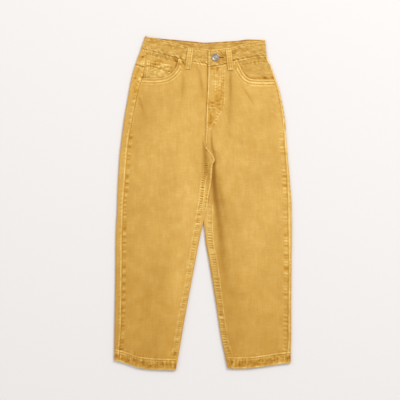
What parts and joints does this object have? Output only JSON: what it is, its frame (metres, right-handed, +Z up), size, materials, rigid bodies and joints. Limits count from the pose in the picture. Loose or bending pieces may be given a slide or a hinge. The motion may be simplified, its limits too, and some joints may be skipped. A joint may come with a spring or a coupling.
{
  "type": "balloon jeans",
  "caption": "Child's balloon-leg jeans in washed denim, lying flat with the front up: waistband with a shank button, fly, scoop pockets, wide curved legs over straight hems",
  "frame": {"origin": "centre of the garment's footprint, on the surface that it lies on", "axes": "+Y from the hems to the waist, +X to the wearer's left, +Z up from the surface"},
  "size_m": [0.4086, 0.7672, 0.0116],
  "materials": {
    "denim": "washed twill, matt",
    "button_metal": "pewter grey, satin"
  },
  "bodies": {
    "root": {"back_right": "denim", "back_left": "denim", "yoke_right": "denim", "yoke_left": "denim", "front_right": "denim", "front_left": "denim", "hip_facing_right": "denim", "hip_facing_left": "denim", "coin_pocket": "denim", "waistband": "denim", "belt_loop_right": "denim", "belt_loop_left": "denim", "button": "button_metal"}
  },
  "joints": []
}
